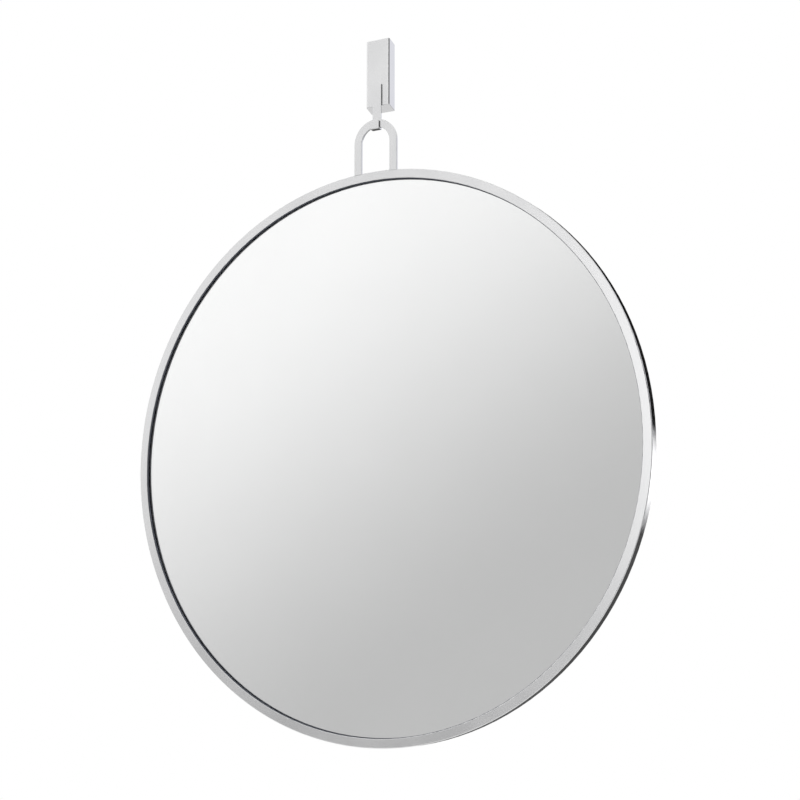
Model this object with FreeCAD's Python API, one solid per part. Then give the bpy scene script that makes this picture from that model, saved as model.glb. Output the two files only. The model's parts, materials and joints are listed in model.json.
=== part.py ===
import FreeCAD, Part
import math
import os

# Round wall mirror: a rolled metal frame whose welded loop hangs on the J hook of a slim box bracket.
# Millimetres. +Z is up, +Y points into the wall, and the origin is the middle of the wall plate's back.

# Frame ring, a rolled angle with a front lip and an outer rim
ring_diameter = 762.0
face_width = 12.0
frame_depth = 14.0
lip_thickness = 1.5
rim_thickness = 1.5
outer_edge_radius = 1.0
inner_edge_radius = 0.4
ring_joint_angle = 90.0

# Glass pack, listed from the lip backwards
gasket_overhang = 0.7
gasket_width = 8.2
gasket_thickness = 2.0
glass_edge_gap = 1.5
glass_thickness = 3.0
silver_gap = 0.05
silver_thickness = 0.2
tape_count = 5
tape_pitch = 130.0
tape_width = 25.0
tape_end_margin = 45.0
tape_thickness = 1.0
board_edge_gap = 1.5
board_thickness = 3.0

# Pieces that hold the pack in the ring and keep it off the wall
spacer_count = 8
spacer_length = 24.0
tab_count = 12
tab_width = 14.0
tab_thickness = 1.0
tab_leg = 3.5
tab_reach = 15.0
bumper_angles = (225.0, 315.0)
bumper_inset = 40.0
bumper_base_diameter = 20.0
bumper_tip_diameter = 15.0
bumper_wall_gap = 0.5

# Hanging loop, a flat bar bent into an arch and welded to the top of the ring
loop_width = 65.0
loop_rise = 73.2
loop_bar_width = 11.0
loop_thickness = 4.0
loop_edge_radius = 0.4

# J hook, a flat strap that goes behind the loop's bar, under it and up in front
hook_width = 13.0
hook_thickness = 2.0
hook_drop = 32.8
hook_overlap = 30.0
hook_lip_height = 9.4
hook_bend_radius = 0.8
hook_outer_radius = 0.8
hook_tip_radius = 0.5

# Bracket shell, a box of sheet metal that is open at the back; its two ends slope down towards the wall
bracket_width = 36.0
bracket_height = 95.0
bracket_depth = 16.0
bracket_end_drop = 5.0
bracket_wall = 2.0
bracket_upright_edge_radius = 2.0
bracket_edge_radius = 0.8
bracket_wall_gap = 0.3

# Wall plate and the cleat that hangs the bracket on it
plate_thickness = 2.0
plate_side_gap = 2.0
plate_end_gap = 1.5
plate_corner_radius = 3.0
wall_hole_diameter = 5.5
wall_hole_spacing = 50.0
ledge_thickness = 3.0
ledge_lip_thickness = 3.0
ledge_lip_height = 8.0
cleat_leg_thickness = 2.0
cleat_bridge = 3.0
cleat_leg_gap = 0.8

# Fasteners: thread, the strap's studs and their nuts, the backing plate, and the set screw with its nut
thread_diameter = 4.0
thread_clearance = 0.1
stud_count = 2
stud_pitch = 14.0
stud_first_height = 8.0
stud_end_length = 0.8
strap_nut_height = 2.2
backing_plate_thickness = 2.0
backing_plate_side_margin = 4.0
backing_plate_end_margin = 6.0
nut_width = 7.0
nut_height = 3.2
nut_room = 1.8
set_screw_recess = 0.5
set_screw_tip_chamfer = 0.7
set_screw_socket_width = 2.0
set_screw_socket_depth = 1.3

# Clearances: between moving pieces, and between round faces of one assembly
running_gap = 0.3
seat_gap = 0.1

# Radii of the ring and of the pieces inside it
ring_radius = ring_diameter / 2
opening_radius = ring_radius - face_width
rim_inner_radius = ring_radius - rim_thickness
glass_radius = rim_inner_radius - glass_edge_gap
board_radius = rim_inner_radius - board_edge_gap
gasket_inner_radius = opening_radius - gasket_overhang

# Depths, from the wall forwards to the hook's lip and from the ring's face backwards
bracket_front = -bracket_depth
shell_inside_front = bracket_front + bracket_wall
strap_front = bracket_front - hook_thickness
loop_back = strap_front - running_gap
frame_front = loop_back - loop_thickness
hook_lip_back = frame_front - running_gap
hook_lip_front = hook_lip_back - hook_thickness
frame_back = frame_front + frame_depth
lip_back = frame_front + lip_thickness
gasket_back = lip_back + gasket_thickness
glass_back = gasket_back + glass_thickness
silver_front = glass_back + silver_gap
silver_back = silver_front + silver_thickness
tape_back = silver_back + tape_thickness
board_back = tape_back + board_thickness
tab_back = board_back + tab_thickness
plate_front = -plate_thickness
ledge_lip_back = plate_front - cleat_leg_thickness - 2 * running_gap
ledge_lip_front = ledge_lip_back - ledge_lip_thickness

# Heights, from the wall plate's middle down to the middle of the ring
lift_travel = ledge_lip_height
end_slope = bracket_end_drop / (bracket_depth - bracket_wall_gap)
drop_at_plate = end_slope * (plate_front - bracket_front)
shell_inside_height = bracket_height - 2 * bracket_wall
plate_height = shell_inside_height - lift_travel - 2 * plate_end_gap - (bracket_end_drop - drop_at_plate)
shell_bottom_at_plate = -plate_height / 2 - plate_end_gap - lift_travel
bracket_bottom = shell_bottom_at_plate - bracket_wall + drop_at_plate
cleat_underside = ledge_lip_height + running_gap
hook_floor = bracket_bottom - hook_drop
hook_underside = hook_floor - hook_thickness
strap_top = bracket_bottom + hook_overlap
loop_inner_radius = loop_width / 2 - loop_bar_width
hook_corner_radius = loop_inner_radius - running_gap
swing_height = hook_floor - math.sqrt(hook_corner_radius ** 2 - (hook_width / 2) ** 2)
loop_top = swing_height + loop_width / 2
ring_height = loop_top - loop_rise - ring_radius

# Widths inside the bracket
shell_inside_width = bracket_width - 2 * bracket_wall
plate_width = shell_inside_width - 2 * plate_side_gap
ledge_width = shell_inside_width - 2 * (nut_height + nut_room)
set_screw_height = ledge_lip_height / 2
set_screw_depth = (ledge_lip_back + ledge_lip_front) / 2

V = FreeCAD.Vector
along_x = V(1, 0, 0)
along_y = V(0, 1, 0)
along_z = V(0, 0, 1)
ring_centre = V(0, 0, ring_height)
smallest_edge = 1e-6


def save(name, *solids):
    """Write one node: a single solid, or a group of separate solids."""
    shape = solids[0] if len(solids) == 1 else Part.makeCompound(list(solids))
    shape.exportStep(os.path.join("parts", name + ".step"))


def rounded_face(corners, place):
    """Flat face through (u, v, radius) corners; place turns (u, v) into a point in space."""
    points = [V(u, v, 0) for u, v, radius in corners]
    edges = []
    arcs = []
    for index, (u, v, radius) in enumerate(corners):
        here = points[index]
        back = (points[index - 1] - here).normalize()
        ahead = (points[(index + 1) % len(points)] - here).normalize()
        half_angle = back.getAngle(ahead) / 2
        setback = radius / math.tan(half_angle)
        middle = here + (back + ahead).normalize() * (radius / math.sin(half_angle) - radius)
        arcs.append((here + back * setback, middle, here + ahead * setback))
    for index, (start, middle, end) in enumerate(arcs):
        if corners[index][2] > 0:
            edges.append(Part.Arc(place(start), place(middle), place(end)).toShape())
        following = arcs[(index + 1) % len(arcs)][0]
        if end.distanceToPoint(following) > smallest_edge:
            edges.append(Part.makeLine(place(end), place(following)))
    return Part.Face(Part.Wire(edges))


def across(corners, width):
    """Solid of a (y, z, radius) outline, width wide along X about the middle plane."""
    face = rounded_face(corners, lambda p: V(-width / 2, p.x, p.y))
    return face.extrude(along_x * width)


def upright(corners, front, back):
    """Solid of an (x, z, radius) outline between two depths."""
    face = rounded_face(corners, lambda p: V(p.x, front, p.y))
    return face.extrude(along_y * (back - front))


def turned(corners, angle=360.0, start=0.0):
    """Solid of a (radius, depth, corner radius) outline turned about the ring's axis."""
    face = rounded_face(corners, lambda p: V(p.x, p.y, ring_height))
    solid = face.revolve(ring_centre, along_y, -angle)
    solid.rotate(ring_centre, along_y, -start)
    return solid


def band(inner, outer, front, back, angle=360.0, start=0.0):
    """Ring, or a piece of one, of rectangular section about the ring's axis."""
    corners = [(inner, front, 0), (outer, front, 0), (outer, back, 0), (inner, back, 0)]
    return turned(corners, angle, start)


def disc(radius, front, back):
    """Round plate about the ring's axis."""
    return Part.makeCylinder(radius, back - front, V(0, front, ring_height), along_y)


def hexagon_bar(width, length, start, direction, side):
    """Six-sided bar; one pair of its corners lies along side."""
    corner = width / math.sqrt(3)
    other = direction.cross(side)
    points = []
    for step in range(6):
        angle = step * math.pi / 3
        points.append(start + side * (corner * math.cos(angle)) + other * (corner * math.sin(angle)))
    face = Part.Face(Part.makePolygon(points + points[:1]))
    return face.extrude(direction * length)


def frame_outline():
    """Section of the rolled angle: front lip and outer rim, with rounded front edges."""
    return [
        (opening_radius, frame_front, inner_edge_radius),
        (ring_radius, frame_front, outer_edge_radius),
        (ring_radius, frame_back, 0),
        (rim_inner_radius, frame_back, 0),
        (rim_inner_radius, lip_back, 0),
        (opening_radius, lip_back, 0),
    ]


def frame_ring():
    """Rolled angle whose two ends meet at the top, between the loop's legs."""
    return turned(frame_outline(), start=ring_joint_angle)


def hanging_loop():
    """Arched bar whose legs are coped to the rim of the ring, flush with its face."""
    outer = loop_width / 2
    inner = loop_inner_radius
    foot = ring_height + math.sqrt(ring_radius ** 2 - outer ** 2) - outer_edge_radius - loop_bar_width
    inner_top = loop_top - loop_bar_width
    corners = [
        (-outer, foot, 0),
        (-outer, loop_top, outer),
        (outer, loop_top, outer),
        (outer, foot, 0),
        (inner, foot, 0),
        (inner, inner_top, inner),
        (-inner, inner_top, inner),
        (-inner, foot, 0),
    ]
    bar = upright(corners, frame_front, loop_back)
    foot_edges = [edge for edge in bar.Edges if abs(edge.BoundBox.ZMax - foot) < smallest_edge]
    long_edges = [edge for edge in bar.Edges if edge.BoundBox.YLength < smallest_edge]
    rounded = [edge for edge in long_edges if not any(edge.isSame(other) for other in foot_edges)]
    bar = bar.makeFillet(loop_edge_radius, rounded)
    edge_bevel = outer_edge_radius * (2 - math.sqrt(2))
    cope = turned([
        (0, frame_front - loop_thickness, 0),
        (ring_radius - edge_bevel - loop_thickness, frame_front - loop_thickness, 0),
        (ring_radius, frame_front + edge_bevel, 0),
        (ring_radius, frame_back, 0),
        (0, frame_back, 0),
    ])
    return bar.cut(cope).Solids[0]


def edge_spacers():
    """Strips that centre the glass in the rim."""
    angle = math.degrees(spacer_length / glass_radius)
    pitch = 360.0 / spacer_count
    return [
        band(glass_radius + seat_gap, rim_inner_radius - seat_gap, gasket_back, glass_back,
             angle, (step + 0.5) * pitch - angle / 2)
        for step in range(spacer_count)
    ]


def foam_tape():
    """Upright strips that bond the silvered glass to the board."""
    strips = []
    for step in range(tape_count):
        middle = (step - (tape_count - 1) / 2) * tape_pitch
        reach = abs(middle) + tape_width / 2
        half = math.sqrt(board_radius ** 2 - reach ** 2) - tape_end_margin
        corners = [
            (middle - tape_width / 2, ring_height - half, 0),
            (middle + tape_width / 2, ring_height - half, 0),
            (middle + tape_width / 2, ring_height + half, 0),
            (middle - tape_width / 2, ring_height + half, 0),
        ]
        strips.append(upright(corners, silver_back, tape_back))
    return strips


def retaining_tabs():
    """Tabs fixed inside the rim and bent over the back of the board."""
    outer = rim_inner_radius - seat_gap
    angle = math.degrees(tab_width / rim_inner_radius)
    pitch = 360.0 / tab_count
    corners = [
        (outer - tab_reach, board_back, 0),
        (outer - tab_thickness, board_back, 0),
        (outer - tab_thickness, tab_back - tab_leg, 0),
        (outer, tab_back - tab_leg, 0),
        (outer, tab_back, tab_thickness / 2),
        (outer - tab_reach, tab_back, 0),
    ]
    return [turned(corners, angle, step * pitch - angle / 2) for step in range(tab_count)]


def wall_bumpers():
    """Tapered buttons on the board that hold the mirror parallel to the wall."""
    height = -bumper_wall_gap - board_back
    reach = board_radius - bumper_inset
    buttons = []
    for angle in bumper_angles:
        turn = math.radians(angle)
        base = ring_centre + V(reach * math.cos(turn), board_back, reach * math.sin(turn))
        button = Part.makeCone(bumper_base_diameter / 2, bumper_tip_diameter / 2, height, base, along_y)
        buttons.append(button)
    return buttons


def stud_heights():
    return [bracket_bottom + stud_first_height + step * stud_pitch for step in range(stud_count)]


def hook_strap():
    """Strap bent into a J."""
    corners = [
        (bracket_front, strap_top, 0),
        (strap_front, strap_top, hook_tip_radius),
        (strap_front, hook_floor, hook_bend_radius),
        (hook_lip_back, hook_floor, hook_bend_radius),
        (hook_lip_back, hook_floor + hook_lip_height, hook_tip_radius),
        (hook_lip_front, hook_floor + hook_lip_height, hook_tip_radius),
        (hook_lip_front, hook_underside, hook_outer_radius),
        (bracket_front, hook_underside, hook_outer_radius),
    ]
    return across(corners, hook_width)


def slanted_box(width, front, back, bottom, height):
    """Box whose ends slope as the bracket's do; bottom is where its underside meets the bracket's front."""
    front_fall = end_slope * (front - bracket_front)
    back_fall = end_slope * (back - bracket_front)
    return across([
        (front, bottom - front_fall, 0),
        (front, bottom + height - front_fall, 0),
        (back, bottom + height - back_fall, 0),
        (back, bottom - back_fall, 0),
    ], width)


def bracket_shell():
    """Box with rounded outer edges, open at the back, with holes for the studs and the set screw."""
    box = slanted_box(bracket_width, bracket_front, -bracket_wall_gap, bracket_bottom, bracket_height)
    upright_edges = [edge for edge in box.Edges if edge.BoundBox.YMax < bracket_front + smallest_edge
                     and edge.BoundBox.XLength < smallest_edge]
    box = box.makeFillet(bracket_upright_edge_radius, upright_edges)
    end_edges = [edge for edge in box.Edges if edge.BoundBox.YMin < -bracket_wall_gap - smallest_edge
                 and edge.BoundBox.ZLength < bracket_height / 2]
    box = box.makeFillet(bracket_edge_radius, end_edges)
    shell = box.cut(slanted_box(shell_inside_width, shell_inside_front, 0,
                                bracket_bottom + bracket_wall, shell_inside_height))
    hole_radius = thread_diameter / 2 + thread_clearance
    for height in stud_heights():
        start = V(0, bracket_front, height)
        shell = shell.cut(Part.makeCylinder(hole_radius, bracket_wall, start, along_y))
    screw_mouth = V(-bracket_width / 2, set_screw_depth, set_screw_height)
    return shell.cut(Part.makeCylinder(hole_radius, bracket_wall, screw_mouth, along_x))


def strap_backing_plate():
    """Plate inside the shell that spreads the strap's pull."""
    heights = stud_heights()
    width = shell_inside_width - 2 * backing_plate_side_margin
    bottom = max(heights[0] - backing_plate_end_margin, bracket_bottom + bracket_wall)
    top = heights[-1] + backing_plate_end_margin
    corner = V(-width / 2, shell_inside_front, bottom)
    plate = Part.makeBox(width, backing_plate_thickness, top - bottom, corner)
    hole_radius = thread_diameter / 2 + thread_clearance
    for height in heights:
        start = V(0, shell_inside_front, height)
        plate = plate.cut(Part.makeCylinder(hole_radius, backing_plate_thickness, start, along_y))
    return plate


def strap_studs():
    """Studs welded to the strap's back, which pass through shell and backing plate."""
    length = bracket_wall + backing_plate_thickness + strap_nut_height + stud_end_length
    return [
        Part.makeCylinder(thread_diameter / 2, length, V(0, bracket_front, height), along_y)
        for height in stud_heights()
    ]


def strap_nuts():
    """Thin nuts that pull the strap's studs against the backing plate."""
    nuts = []
    for height in stud_heights():
        start = V(0, shell_inside_front + backing_plate_thickness, height)
        hole = Part.makeCylinder(thread_diameter / 2 + thread_clearance, strap_nut_height, start, along_y)
        nuts.append(hexagon_bar(nut_width, strap_nut_height, start, along_y, along_z).cut(hole))
    return nuts


def cleat_bar():
    """Inverted channel inside the shell that straddles the wall plate's ledge lip."""
    foot = cleat_leg_gap
    top = cleat_underside + cleat_bridge
    back = plate_front - running_gap
    leg_front = back - cleat_leg_thickness
    front_leg_back = ledge_lip_front - running_gap
    corners = [
        (shell_inside_front, foot, 0),
        (front_leg_back, foot, 0),
        (front_leg_back, cleat_underside, 0),
        (leg_front, cleat_underside, 0),
        (leg_front, foot, 0),
        (back, foot, 0),
        (back, top, 0),
        (shell_inside_front, top, 0),
    ]
    return across(corners, ledge_width)


def wall_plate():
    """Plate screwed to the wall, with a ledge and a raised lip that carry the bracket."""
    half_width = plate_width / 2
    half_height = plate_height / 2
    outline = [
        (-half_width, -half_height, plate_corner_radius),
        (half_width, -half_height, plate_corner_radius),
        (half_width, half_height, plate_corner_radius),
        (-half_width, half_height, plate_corner_radius),
    ]
    plate = upright(outline, plate_front, 0)
    ledge = across([
        (plate_front, -ledge_thickness, 0),
        (plate_front, 0, 0),
        (ledge_lip_back, 0, 0),
        (ledge_lip_back, ledge_lip_height, 0),
        (ledge_lip_front, ledge_lip_height, 0),
        (ledge_lip_front, -ledge_thickness, 0),
    ], ledge_width)
    plate = plate.fuse(ledge).removeSplitter()
    for height in (-wall_hole_spacing / 2, wall_hole_spacing / 2):
        start = V(0, plate_front, height)
        plate = plate.cut(Part.makeCylinder(wall_hole_diameter / 2, plate_thickness, start, along_y))
    return plate.Solids[0]


def set_screw_nut():
    """Nut welded inside the left wall of the shell."""
    start = V(-shell_inside_width / 2, set_screw_depth, set_screw_height)
    hole = Part.makeCylinder(thread_diameter / 2 + thread_clearance, nut_height, start, along_x)
    return hexagon_bar(nut_width, nut_height, start, along_x, along_z).cut(hole)


def set_screw():
    """Grub screw whose point bears on the end of the ledge lip."""
    mouth = -bracket_width / 2 + set_screw_recess
    point = -ledge_width / 2 - running_gap
    radius = thread_diameter / 2
    start = V(mouth, set_screw_depth, set_screw_height)
    body = Part.makeCylinder(radius, point - set_screw_tip_chamfer - mouth, start, along_x)
    tip_start = V(point - set_screw_tip_chamfer, set_screw_depth, set_screw_height)
    tip = Part.makeCone(radius, radius - set_screw_tip_chamfer, set_screw_tip_chamfer, tip_start, along_x)
    socket = hexagon_bar(set_screw_socket_width, set_screw_socket_depth, start, along_x, along_z)
    return body.fuse(tip).removeSplitter().cut(socket).Solids[0]


os.makedirs("parts", exist_ok=True)

# Wall side
save("wall_plate", wall_plate())

# Bracket
save("bracket_shell", bracket_shell())
save("cleat_bar", cleat_bar())
save("hook_strap", hook_strap())
save("strap_backing_plate", strap_backing_plate())
save("strap_studs", *strap_studs())
save("strap_nuts", *strap_nuts())
save("set_screw_nut", set_screw_nut())
save("set_screw", set_screw())

# Mirror
save("frame_ring", frame_ring())
save("hanging_loop", hanging_loop())
save("glazing_gasket", band(gasket_inner_radius, gasket_inner_radius + gasket_width, lip_back, gasket_back))
save("mirror_glass", disc(glass_radius, gasket_back, glass_back))
save("silver_backing", disc(glass_radius, silver_front, silver_back))
save("edge_spacers", *edge_spacers())
save("foam_tape", *foam_tape())
save("backing_board", disc(board_radius, tape_back, board_back))
save("retaining_tabs", *retaining_tabs())
save("wall_bumpers", *wall_bumpers())
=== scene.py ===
import bpy
import json
import math
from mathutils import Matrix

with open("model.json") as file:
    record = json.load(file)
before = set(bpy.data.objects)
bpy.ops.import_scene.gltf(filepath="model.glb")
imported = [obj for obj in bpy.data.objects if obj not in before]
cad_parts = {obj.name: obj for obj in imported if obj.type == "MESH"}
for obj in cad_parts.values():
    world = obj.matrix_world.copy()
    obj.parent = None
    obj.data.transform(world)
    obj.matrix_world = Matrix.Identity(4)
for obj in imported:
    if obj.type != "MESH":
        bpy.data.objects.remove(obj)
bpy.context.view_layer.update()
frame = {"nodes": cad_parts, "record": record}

scene = bpy.context.scene
scene.view_settings.view_transform = "Standard"

# Camera and lamp: places and sizes in metres in the part's frame, angles in degrees,
# lens and sensor in millimetres, power in watts
CAMERA_PLACE = (0.9939, -1.8232, -0.7661)
CAMERA_TILT = 8.67
CAMERA_TURN = 27.96
CAMERA_LENS = 70.97
SENSOR_WIDTH = 36.0
LAMP_PLACE = (-0.6, -1.0, 1.2)
LAMP_TILT = 40
LAMP_TURN = -25
LAMP_SIZE = 1.6
LAMP_POWER = 22

# Floor: a disc, in metres, that fades out with the distance from the point below the part's origin
FLOOR_HEIGHT = -1.35
FLOOR_RADIUS = 2.4
FLOOR_MIDDLE_Y = -1.3
FLOOR_SIDES = 128
FLOOR_FADE_START = 1.3
FLOOR_FADE_END = 2.6
FLOOR_GLOW = 0.35
FLOOR_MIRRORED_GLOW = 0.15

# Studio: strength of the lights, share of the light that each card leaves, and tints
SWEEP_DARK = 0.549
SWEEP_BRIGHT = 1.03
STRIP_LIGHT = 1.9
PANEL_LIGHT = 0.45
SLOT_LIGHT = 1.6
SIDE_CARD = 0.3
BACK_CARD = 0.01
LOW_BACK_CARD = 0.11
DIFFUSE_LEVEL = 0.75
WHITE = (1, 1, 1, 1)
COOL_TINT = (1.02, 1.025, 1.09, 1)

# Studio: edges as (where it starts, where it is full), on an upright plane at unit distance in front
STRIP_LEFT_EDGE = (-0.342, -0.332)
STRIP_RIGHT_EDGE = (0.12, -0.3)
STRIP_LOW_EDGE = (-0.07, 0.03)
STRIP_TOP_EDGE = (0.8, 0.1)
PANEL_RIGHT_EDGE = (-0.775, -0.785)
PANEL_LOW_EDGE = (0.02, 0.04)
SIDE_CARD_LEFT_EDGE = (0.12, 0.3)

# Studio: edges of the same kind on a ray's unit direction, the sweep's along a direction of its own
SWEEP_DIRECTION = (-0.4729, 0.3610, 0.8038)
SWEEP_EDGE = (-0.122, 0.165)
PANEL_BACK_EDGE = (0.0, -0.15)
SIDE_CARD_BACK_EDGE = (0.3, 0.05)
BACK_START_EDGE = (0.5, 0.6)
COOL_LEFT_EDGE = (0.3, 0.45)
COOL_FRONT_EDGE = (0.4, 0.6)

# Studio: limits of the side card's height on a ray's unit direction, and the softness beyond them
SIDE_CARD_RISE = (0.2, 0.5)
SIDE_CARD_SOFTNESS = 0.06

# Studio: the round black card with its slot and its spot, on an upright plane at unit distance behind,
# from the card's own middle. The hoop and the slot have limits, with the softness beyond them
BACK_MIDDLE_X = -0.06
BACK_MIDDLE_Z = 0.015
BACK_SOFTNESS = 0.03
HOOP_RADII = (0.33, 0.51)
SLOT_LEFT_EDGE = (0.406, 0.419)
SLOT_SPAN = (0.3, 0.53)
SLOT_RISE = (-0.15, 0.13)
SPOT_X = -0.475
SPOT_Z = -0.406
SPOT_EDGE = (0.13, 0.1)
LOW_CARD_EDGE = (0.0, -0.25)

# Studio: least depth that a direction is divided by, to put it on one of the planes
LEAST_DEPTH = 0.05

# Values between which a noise texture mostly stays
NOISE_LOW = 0.3
NOISE_HIGH = 0.7


# Node helpers

def put(tree, socket, value):
    """Link another node's output to a socket, or set the socket's own value."""
    if isinstance(value, bpy.types.NodeSocket):
        tree.links.new(value, socket)
    else:
        socket.default_value = value


def node(tree, kind, inputs=None, **settings):
    """New node with its settings, and its inputs linked or set by name."""
    made = tree.nodes.new(kind)
    for name, value in settings.items():
        setattr(made, name, value)
    for name, value in (inputs or {}).items():
        put(tree, made.inputs[name], value)
    return made


def calc(tree, operation, *values):
    """Result of one Math node."""
    made = tree.nodes.new("ShaderNodeMath")
    made.operation = operation
    for index, value in enumerate(values):
        put(tree, made.inputs[index], value)
    return made.outputs[0]


def fade(tree, value, start, end, low=0.0, high=1.0):
    """Smooth step of a value: low up to start, high from end on."""
    made = node(tree, "ShaderNodeMapRange", {"Value": value, "From Min": start, "From Max": end,
                                             "To Min": low, "To Max": high})
    made.interpolation_type = "SMOOTHSTEP"
    return made.outputs["Result"]


def times(tree, first, *others):
    """Product of several values."""
    for value in others:
        first = calc(tree, "MULTIPLY", first, value)
    return first


def within(tree, value, low, high, soft):
    """One between low and high, fading to nothing over a soft edge on each side."""
    return times(tree, fade(tree, value, low - soft, low), fade(tree, value, high + soft, high))


def length(tree, across, along):
    """Length of a flat vector."""
    squares = calc(tree, "ADD", times(tree, across, across), times(tree, along, along))
    return calc(tree, "SQRT", squares)


def ray_kinds(tree):
    """Whether a ray comes straight to the camera, and whether it comes by way of metal or glass."""
    kinds = node(tree, "ShaderNodeLightPath").outputs
    mirrored = calc(tree, "MAXIMUM", kinds["Is Glossy Ray"], kinds["Is Transmission Ray"])
    return kinds["Is Camera Ray"], mirrored


def ramp(tree, value, *stops):
    """Colour ramp of (position, colour) stops."""
    made = node(tree, "ShaderNodeValToRGB", {"Fac": value})
    elements = made.color_ramp.elements
    while len(elements) < len(stops):
        elements.new(0.5)
    for element, (position, colour) in zip(elements, stops):
        element.position = position
        element.color = (*colour, 1.0)
    return made.outputs["Color"]


def noise(tree, place, scale, detail=4.0, roughness=0.55):
    made = node(tree, "ShaderNodeTexNoise", {"Vector": place, "Scale": scale, "Detail": detail,
                                             "Roughness": roughness})
    return made.outputs["Fac"]


def cells(tree, place, scale):
    return node(tree, "ShaderNodeTexVoronoi", {"Vector": place, "Scale": scale}).outputs["Distance"]


def object_place(tree, stretch=(1, 1, 1)):
    """Object coordinates, which may be stretched so that a texture runs in streaks."""
    place = node(tree, "ShaderNodeTexCoord").outputs["Object"]
    return node(tree, "ShaderNodeMapping", {"Vector": place, "Scale": stretch}).outputs["Vector"]


def tinted(tree, texture, dark, light):
    """Colour that goes from dark to light with a noise texture."""
    return ramp(tree, texture, (NOISE_LOW, dark), (NOISE_HIGH, light))


def uneven(tree, texture, low, high):
    """Number that goes from low to high with a noise texture."""
    return fade(tree, texture, NOISE_LOW, NOISE_HIGH, low, high)


def bump(tree, height, distance, strength):
    made = node(tree, "ShaderNodeBump", {"Height": height, "Distance": distance, "Strength": strength})
    return made.outputs["Normal"]


def material(name):
    """New material, its node tree and the inputs of its shader."""
    made = bpy.data.materials.new(name)
    made.use_nodes = True
    return made, made.node_tree, made.node_tree.nodes["Principled BSDF"].inputs


# Materials

def nickel():
    """Polished plate, satin on the faces that look forwards or back and brighter on the sides."""
    side_facing, front_facing = 0.75, 0.97
    side_roughness, front_roughness, most_cloud = 0.06, 0.23, 0.03
    made, tree, shader = material("nickel_plate")
    place = object_place(tree)
    cloud = noise(tree, place, scale=18, detail=3)
    grain = noise(tree, place, scale=900, detail=2)
    put(tree, shader["Base Color"],
        tinted(tree, cloud, dark=(0.635, 0.636, 0.642), light=(0.668, 0.668, 0.672)))
    normal = node(tree, "ShaderNodeNewGeometry").outputs["Normal"]
    normal_y = node(tree, "ShaderNodeSeparateXYZ", {"Vector": normal}).outputs["Y"]
    satin = fade(tree, calc(tree, "ABSOLUTE", normal_y), side_facing, front_facing,
                 side_roughness, front_roughness)
    put(tree, shader["Roughness"], calc(tree, "ADD", satin, uneven(tree, cloud, 0.0, most_cloud)))
    put(tree, shader["Normal"], bump(tree, grain, distance=0.00002, strength=0.05))
    shader["Metallic"].default_value = 1.0
    return made


def zinc():
    """Zinc plate with a fine spangle."""
    flat_spangle, deep_spangle = 0.0, 0.8
    made, tree, shader = material("zinc_plate")
    place = object_place(tree)
    spangle = cells(tree, place, scale=260)
    cloud = noise(tree, place, scale=60)
    put(tree, shader["Base Color"], tinted(tree, cloud, dark=(0.56, 0.58, 0.61), light=(0.68, 0.69, 0.7)))
    put(tree, shader["Roughness"], fade(tree, spangle, flat_spangle, deep_spangle, low=0.3, high=0.46))
    put(tree, shader["Normal"], bump(tree, spangle, distance=0.00005, strength=0.12))
    shader["Metallic"].default_value = 1.0
    return made


def screw_steel():
    """Dark oiled steel."""
    made, tree, shader = material("oiled_steel")
    cloud = noise(tree, object_place(tree), scale=300)
    put(tree, shader["Base Color"], tinted(tree, cloud, dark=(0.2, 0.2, 0.21), light=(0.32, 0.32, 0.33)))
    put(tree, shader["Roughness"], uneven(tree, cloud, low=0.32, high=0.45))
    put(tree, shader["Normal"], bump(tree, cloud, distance=0.00003, strength=0.1))
    shader["Metallic"].default_value = 1.0
    return made


def rubber_with_painted_reflection():
    """Matt dark rubber with a fine grain; its lifted blue-grey tone is partly painted reflection, standing in
    for the bluish light in the recess around the glass.
    """
    made, tree, shader = material("dark_rubber")
    place = object_place(tree)
    cloud = noise(tree, place, scale=40)
    grain = noise(tree, place, scale=1400, detail=2)
    # Painted reflection: the colour is lifted and tinted blue-grey above plain dark rubber to stand in for
    # light reflected in the recess around the glass
    put(tree, shader["Base Color"],
        tinted(tree, cloud, dark=(0.075, 0.083, 0.104), light=(0.1, 0.108, 0.132)))
    put(tree, shader["Roughness"], uneven(tree, cloud, low=0.6, high=0.75))
    put(tree, shader["Normal"], bump(tree, grain, distance=0.0001, strength=0.2))
    return made


def glass():
    """Clear glass with a hardly visible variation of its tint."""
    made, tree, shader = material("float_glass")
    cloud = noise(tree, object_place(tree), scale=6, detail=2)
    put(tree, shader["Base Color"],
        tinted(tree, cloud, dark=(0.990, 0.992, 0.991), light=(0.994, 0.996, 0.995)))
    shader["Roughness"].default_value = 0.0
    shader["IOR"].default_value = 1.52
    shader["Transmission Weight"].default_value = 1.0
    return made


def silver():
    """Silvering of the mirror."""
    made, tree, shader = material("mirror_silver")
    cloud = noise(tree, object_place(tree), scale=8, detail=2)
    put(tree, shader["Base Color"],
        tinted(tree, cloud, dark=(0.945, 0.945, 0.945), light=(0.955, 0.955, 0.955)))
    shader["Roughness"].default_value = 0.0
    shader["Metallic"].default_value = 1.0
    return made


def plastic():
    """Matt pale plastic."""
    made, tree, shader = material("spacer_plastic")
    cloud = noise(tree, object_place(tree), scale=90)
    put(tree, shader["Base Color"], tinted(tree, cloud, dark=(0.62, 0.62, 0.6), light=(0.72, 0.72, 0.7)))
    put(tree, shader["Roughness"], uneven(tree, cloud, low=0.45, high=0.6))
    return made


def foam():
    """Pale foam with small cells."""
    made, tree, shader = material("foam_tape")
    pores = cells(tree, object_place(tree), scale=1500)
    put(tree, shader["Base Color"], ramp(tree, pores, (0.1, (0.45, 0.45, 0.43)), (0.7, (0.62, 0.62, 0.6))))
    put(tree, shader["Normal"], bump(tree, pores, distance=0.0003, strength=0.4))
    shader["Roughness"].default_value = 0.85
    return made


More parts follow.
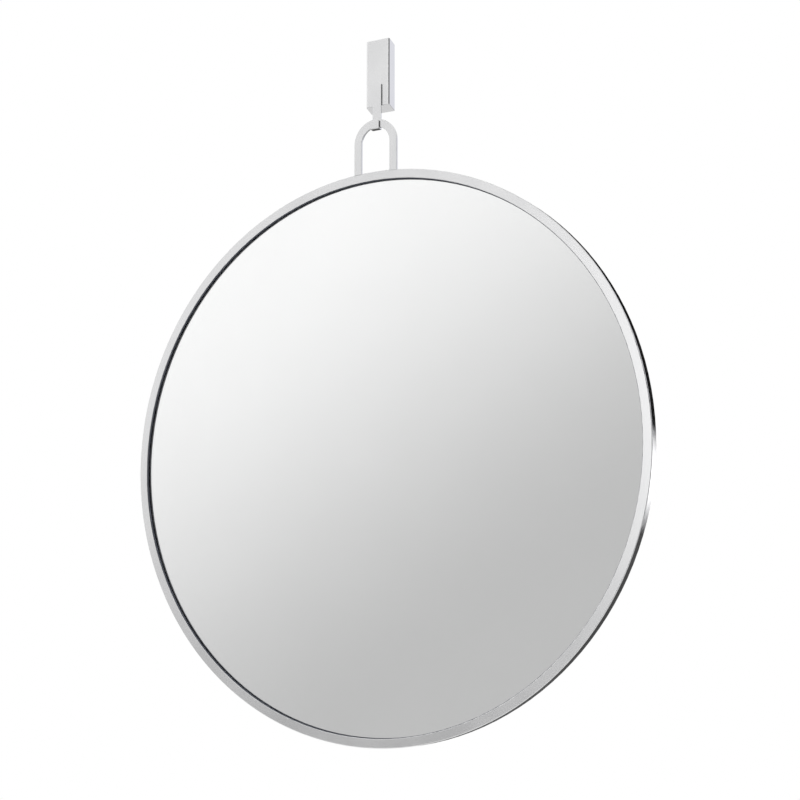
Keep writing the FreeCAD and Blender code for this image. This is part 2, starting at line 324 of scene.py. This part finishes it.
def hardboard():
    """Brown board with fine fibres and a broad cloud."""
    fleck_share, cloud_share = 0.7, 0.3
    made, tree, shader = material("hardboard")
    flecks = noise(tree, object_place(tree, (420, 420, 160)), scale=1.0, detail=6, roughness=0.65)
    cloud = noise(tree, object_place(tree), scale=9, detail=3)
    blend = calc(tree, "ADD", times(tree, flecks, fleck_share), times(tree, cloud, cloud_share))
    put(tree, shader["Base Color"], ramp(tree, blend, (0.32, (0.12, 0.062, 0.03)), (0.5, (0.24, 0.135, 0.07)),
                                         (0.68, (0.36, 0.23, 0.13))))
    put(tree, shader["Roughness"], uneven(tree, flecks, low=0.62, high=0.85))
    put(tree, shader["Normal"], bump(tree, flecks, distance=0.0002, strength=0.35))
    return made


FINISHES = {
    "polished_nickel": nickel(),
    "zinc_steel": zinc(),
    "screw_steel": screw_steel(),
    "dark_rubber": rubber_with_painted_reflection(),
    "clear_glass": glass(),
    "mirror_silver": silver(),
    "spacer_plastic": plastic(),
    "foam": foam(),
    "hardboard": hardboard(),
}

for entry in frame["record"]["subparts"]:
    carried = frame["nodes"][entry["node"]]
    carried.data.materials.clear()
    carried.data.materials.append(FINISHES[entry["material_slot"]])


# Stage: a pale floor well below the mirror, with a glow that metal and glass show less of than the camera

bpy.ops.mesh.primitive_circle_add(vertices=FLOOR_SIDES, radius=FLOOR_RADIUS, fill_type="NGON",
                                  location=(0, FLOOR_MIDDLE_Y, FLOOR_HEIGHT))
floor = bpy.context.object
floor.name = "floor"
floor_finish, tree, shader = material("floor_paint")
speckle = noise(tree, object_place(tree), scale=30)
put(tree, shader["Base Color"], tinted(tree, speckle, dark=(0.86, 0.86, 0.86), light=(0.9, 0.9, 0.9)))
shader["Roughness"].default_value = 0.9
spread = node(tree, "ShaderNodeVectorMath", {0: object_place(tree), 1: (0, -FLOOR_MIDDLE_Y, 0)},
              operation="DISTANCE").outputs["Value"]
put(tree, shader["Alpha"], fade(tree, spread, FLOOR_FADE_START, FLOOR_FADE_END, low=1.0, high=0.0))
seen, mirrored = ray_kinds(tree)
shader["Emission Color"].default_value = WHITE
put(tree, shader["Emission Strength"],
    calc(tree, "ADD", times(tree, seen, FLOOR_GLOW), times(tree, mirrored, FLOOR_MIRRORED_GLOW)))
floor.data.materials.append(floor_finish)


# World: white to the camera, one even grey to dull surfaces, and a soft studio to metal and glass. The
# studio has a wide sweep of light, a strip light and a side panel in front, a narrow light behind, and
# black cards that draw dark lines.

world = bpy.data.worlds.new("studio")
scene.world = world
world.use_nodes = True
tree = world.node_tree
tree.nodes.clear()
direction = node(tree, "ShaderNodeTexCoord").outputs["Generated"]
parts = node(tree, "ShaderNodeSeparateXYZ", {"Vector": direction})
x, y, z = parts.outputs["X"], parts.outputs["Y"], parts.outputs["Z"]

along = node(tree, "ShaderNodeVectorMath", {0: direction, 1: SWEEP_DIRECTION}, operation="DOT_PRODUCT")
sweep = fade(tree, along.outputs["Value"], *SWEEP_EDGE, SWEEP_DARK, SWEEP_BRIGHT)

# In front of the mirror
front = calc(tree, "MAXIMUM", calc(tree, "MULTIPLY", y, -1.0), LEAST_DEPTH)
across = calc(tree, "DIVIDE", x, front)
above = calc(tree, "DIVIDE", z, front)
strip = times(tree, fade(tree, across, *STRIP_LEFT_EDGE), fade(tree, across, *STRIP_RIGHT_EDGE),
              fade(tree, above, *STRIP_LOW_EDGE), fade(tree, above, *STRIP_TOP_EDGE))
panel = times(tree, fade(tree, across, *PANEL_RIGHT_EDGE), fade(tree, above, *PANEL_LOW_EDGE),
              fade(tree, y, *PANEL_BACK_EDGE))
side_card = times(tree, fade(tree, across, *SIDE_CARD_LEFT_EDGE), fade(tree, y, *SIDE_CARD_BACK_EDGE),
                  within(tree, z, *SIDE_CARD_RISE, SIDE_CARD_SOFTNESS))

# Behind the mirror
behind = calc(tree, "MAXIMUM", y, LEAST_DEPTH)
far_enough = fade(tree, y, *BACK_START_EDGE)
aside = calc(tree, "DIVIDE", calc(tree, "SUBTRACT", x, BACK_MIDDLE_X), behind)
over = calc(tree, "DIVIDE", calc(tree, "SUBTRACT", z, BACK_MIDDLE_Z), behind)
slot = times(tree, fade(tree, aside, *SLOT_LEFT_EDGE), within(tree, aside, *SLOT_SPAN, BACK_SOFTNESS),
             within(tree, over, *SLOT_RISE, BACK_SOFTNESS))
hoop = within(tree, length(tree, aside, over), *HOOP_RADII, BACK_SOFTNESS)
from_spot = length(tree, calc(tree, "SUBTRACT", aside, SPOT_X), calc(tree, "SUBTRACT", over, SPOT_Z))
spot = fade(tree, from_spot, *SPOT_EDGE)
back_card = calc(tree, "MAXIMUM", calc(tree, "SUBTRACT", hoop, slot), spot)
back_card = times(tree, back_card, far_enough)
card_level = fade(tree, over, *LOW_CARD_EDGE, BACK_CARD, LOW_BACK_CARD)

calm = times(tree, sweep, fade(tree, side_card, 0.0, 1.0, low=1.0, high=SIDE_CARD))
lights = calc(tree, "ADD", times(tree, strip, STRIP_LIGHT), times(tree, panel, PANEL_LIGHT))
lights = calc(tree, "ADD", lights, times(tree, slot, far_enough, SLOT_LIGHT))
shade = fade(tree, back_card, 0.0, 1.0, low=1.0, high=card_level)
studio = times(tree, calc(tree, "ADD", calm, lights), shade)

seen, mirrored = ray_kinds(tree)
level = node(tree, "ShaderNodeMix", {"Factor": mirrored, "A": DIFFUSE_LEVEL, "B": studio})
level = node(tree, "ShaderNodeMix", {"Factor": seen, "A": level.outputs["Result"], "B": 1.0})
cool = times(tree, fade(tree, x, *COOL_LEFT_EDGE), fade(tree, y, *COOL_FRONT_EDGE), mirrored)
tint = node(tree, "ShaderNodeMix", {"Factor": cool, "A": WHITE, "B": COOL_TINT}, data_type="RGBA")
backdrop = node(tree, "ShaderNodeBackground", {"Color": tint.outputs["Result"],
                                               "Strength": level.outputs["Result"]})
node(tree, "ShaderNodeOutputWorld", {"Surface": backdrop.outputs[0]})


# Soft overhead lamp, for the dull surfaces and the floor's shadow

lamp = bpy.data.lights.new("overhead", "AREA")
lamp.shape = "DISK"
lamp.size = LAMP_SIZE
lamp.energy = LAMP_POWER
lamp_place = bpy.data.objects.new("overhead", lamp)
lamp_place.location = LAMP_PLACE
lamp_place.rotation_euler = (math.radians(LAMP_TILT), 0, math.radians(LAMP_TURN))
lamp_place.visible_glossy = False
lamp_place.visible_transmission = False
scene.collection.objects.link(lamp_place)


# Camera

lens = bpy.data.cameras.new("camera")
lens.sensor_width = SENSOR_WIDTH
lens.lens = CAMERA_LENS
camera = bpy.data.objects.new("camera", lens)
camera.location = CAMERA_PLACE
camera.rotation_euler = (math.radians(90 + CAMERA_TILT), 0, math.radians(CAMERA_TURN))
scene.collection.objects.link(camera)
scene.camera = camera
